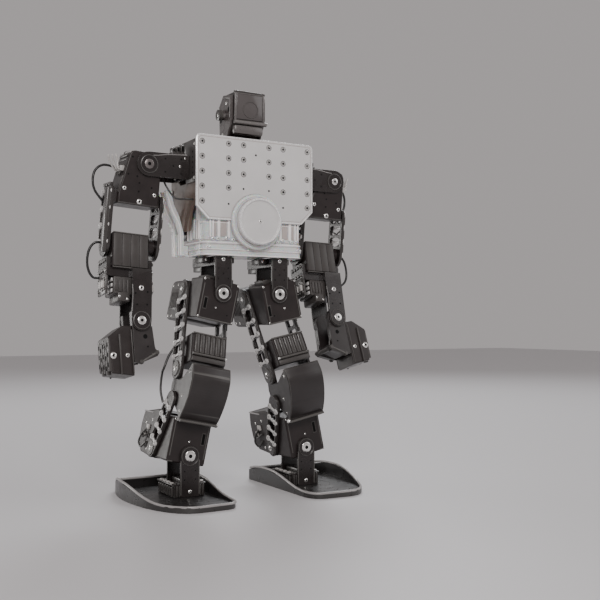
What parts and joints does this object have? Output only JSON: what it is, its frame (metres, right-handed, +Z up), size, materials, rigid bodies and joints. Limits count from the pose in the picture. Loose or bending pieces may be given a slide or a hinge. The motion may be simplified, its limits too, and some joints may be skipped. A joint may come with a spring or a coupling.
{
  "type": "humanoid robot kit",
  "caption": "Small biped robot kit of servos, ladder frames and straps, with a flat chest plate over a see-through body shell and tray-shaped feet.",
  "frame": {"origin": "middle of the standing robot's footprint box, on the floor under the soles", "axes": "+Z up, the robot faces -Y, +X is the robot's left"},
  "size_m": [0.289, 0.144, 0.394],
  "materials": {
    "chest_plate": "satin grey anodised sheet",
    "round_cap": "satin grey",
    "clear_shell": "milky see-through moulding",
    "chassis": "dark folded sheet",
    "frame": "satin black moulding",
    "battery": "shrink wrap",
    "board": "circuit board",
    "servo_case": "satin black moulding",
    "cover": "satin dark grey moulding",
    "lead": "soft black insulation",
    "sole": "satin black moulding"
  },
  "bodies": {
    "torso": {"chest_plate": "chest_plate", "round_cap": "round_cap", "body_shell": "clear_shell", "torso_frame": "chassis", "back_cover": "frame", "battery_pack": "battery", "control_board": "board", "neck_servo": "servo_case", "side_fin_right": "clear_shell", "hip_clevis_right": "frame", "shoulder_servo_right": "servo_case", "side_fin_left": "clear_shell", "hip_clevis_left": "frame", "shoulder_servo_left": "servo_case"},
    "head": {"head_frame": "cover", "head_block": "servo_case"},
    "shoulder_right": {"shoulder_bracket_right": "frame"},
    "upper_arm_right": {"arm_roll_servo_right": "servo_case", "arm_frame_outer_right": "frame", "arm_frame_inner_right": "frame", "upper_lead_right": "lead"},
    "forearm_right": {"elbow_servo_right": "servo_case", "forearm_bracket_right": "frame", "lower_lead_right": "lead"},
    "hand_right": {"hand_block_right": "servo_case", "hand_hook_right": "cover"},
    "hip_right": {"hip_roll_servo_right": "servo_case", "hip_pitch_servo_right": "servo_case"},
    "thigh_right": {"thigh_frame_outer_right": "frame", "thigh_frame_inner_right": "frame", "knee_servo_right": "servo_case"},
    "shin_right": {"shin_frame_outer_right": "frame", "shin_frame_inner_right": "frame", "knee_cover_right": "cover"},
    "ankle_right": {"ankle_roll_servo_right": "servo_case", "ankle_pitch_servo_right": "servo_case"},
    "foot_right": {"sole_right": "sole", "ankle_clevis_right": "frame"},
    "shoulder_left": {"shoulder_bracket_left": "frame"},
    "upper_arm_left": {"arm_roll_servo_left": "servo_case", "arm_frame_outer_left": "frame", "arm_frame_inner_left": "frame", "upper_lead_left": "lead"},
    "forearm_left": {"elbow_servo_left": "servo_case", "forearm_bracket_left": "frame", "lower_lead_left": "lead"},
    "hand_left": {"hand_block_left": "servo_case", "hand_hook_left": "cover"},
    "hip_left": {"hip_roll_servo_left": "servo_case", "hip_pitch_servo_left": "servo_case"},
    "thigh_left": {"thigh_frame_outer_left": "frame", "thigh_frame_inner_left": "frame", "knee_servo_left": "servo_case"},
    "shin_left": {"shin_frame_outer_left": "frame", "shin_frame_inner_left": "frame", "knee_cover_left": "cover"},
    "ankle_left": {"ankle_roll_servo_left": "servo_case", "ankle_pitch_servo_left": "servo_case"},
    "foot_left": {"sole_left": "sole", "ankle_clevis_left": "frame"}
  },
  "joints": [
    {"name": "head_turn", "type": "hinge", "parent": "torso", "child": "head", "pos_m": [0.01112, 0.007, 0.346], "axis": [0, 0, 1], "range_deg": [-80, 80]},
    {"name": "shoulder_pitch_right", "type": "hinge", "parent": "torso", "child": "shoulder_right", "pos_m": [-0.05088, 0.0123, 0.3154], "axis": [1, 0, 0], "range_deg": [-150, 60]},
    {"name": "shoulder_roll_right", "type": "hinge", "parent": "shoulder_right", "child": "upper_arm_right", "pos_m": [-0.09078, 0.0123, 0.3154], "axis": [0, 0.9997, 0.0262], "range_deg": [0, 90]},
    {"name": "elbow_pitch_right", "type": "hinge", "parent": "upper_arm_right", "child": "forearm_right", "pos_m": [-0.09615, 0.01431, 0.23861], "axis": [0.9976, 0.0018, -0.0697], "range_deg": [-85, 11]},
    {"name": "wrist_roll_right", "type": "hinge", "parent": "forearm_right", "child": "hand_right", "pos_m": [-0.10122, 0.00209, 0.16581], "axis": [-0.0133, 0.9863, -0.1646], "range_deg": [-45, 60]},
    {"name": "hip_roll_right", "type": "hinge", "parent": "torso", "child": "hip_right", "pos_m": [-0.01958, 0.007, 0.1948], "axis": [0, 1, 0], "range_deg": [-10, 12]},
    {"name": "hip_pitch_right", "type": "hinge", "parent": "hip_right", "child": "thigh_right", "pos_m": [-0.01958, 0.025, 0.1948], "axis": [0.9785, 0, -0.2062], "range_deg": [-60, 35]},
    {"name": "knee_pitch_right", "type": "hinge", "parent": "thigh_right", "child": "shin_right", "pos_m": [-0.03576, 0.00126, 0.118], "axis": [0.9785, 0, -0.2062], "range_deg": [-33, 60]},
    {"name": "ankle_pitch_right", "type": "hinge", "parent": "shin_right", "child": "ankle_right", "pos_m": [-0.05195, 0.025, 0.0412], "axis": [0.9785, 0, -0.2062], "range_deg": [-30, 30]},
    {"name": "ankle_roll_right", "type": "hinge", "parent": "ankle_right", "child": "foot_right", "pos_m": [-0.05195, 0.007, 0.0412], "axis": [0, 1, 0], "range_deg": [-20, 20]},
    {"name": "shoulder_pitch_left", "type": "hinge", "parent": "torso", "child": "shoulder_left", "pos_m": [0.07312, 0.0123, 0.3154], "axis": [1, 0, 0], "range_deg": [-150, 60]},
    {"name": "shoulder_roll_left", "type": "hinge", "parent": "shoulder_left", "child": "upper_arm_left", "pos_m": [0.11302, 0.0123, 0.3154], "axis": [0, 0.9976, 0.0698], "range_deg": [-90, 0]},
    {"name": "elbow_pitch_left", "type": "hinge", "parent": "upper_arm_left", "child": "forearm_left", "pos_m": [0.11034, 0.01767, 0.23863], "axis": [0.9994, 0.0024, -0.0348], "range_deg": [-76, 20]},
    {"name": "wrist_roll_left", "type": "hinge", "parent": "forearm_left", "child": "hand_left", "pos_m": [0.10791, -0.00273, 0.16754], "axis": [-0.0119, 0.9612, -0.2754], "range_deg": [-60, 30]},
    {"name": "hip_roll_left", "type": "hinge", "parent": "torso", "child": "hip_left", "pos_m": [0.04182, 0.007, 0.1948], "axis": [0, 1, 0], "range_deg": [-7, 10]},
    {"name": "hip_pitch_left", "type": "hinge", "parent": "hip_left", "child": "thigh_left", "pos_m": [0.04182, 0.025, 0.1948], "axis": [0.9785, 0, 0.2062], "range_deg": [-60, 35]},
    {"name": "knee_pitch_left", "type": "hinge", "parent": "thigh_left", "child": "shin_left", "pos_m": [0.05801, 0.00126, 0.118], "axis": [0.9785, 0, 0.2062], "range_deg": [-33, 60]},
    {"name": "ankle_pitch_left", "type": "hinge", "parent": "shin_left", "child": "ankle_left", "pos_m": [0.07419, 0.025, 0.0412], "axis": [0.9785, 0, 0.2062], "range_deg": [-30, 30]},
    {"name": "ankle_roll_left", "type": "hinge", "parent": "ankle_left", "child": "foot_left", "pos_m": [0.07419, 0.007, 0.0412], "axis": [0, 1, 0], "range_deg": [-20, 20]}
  ]
}
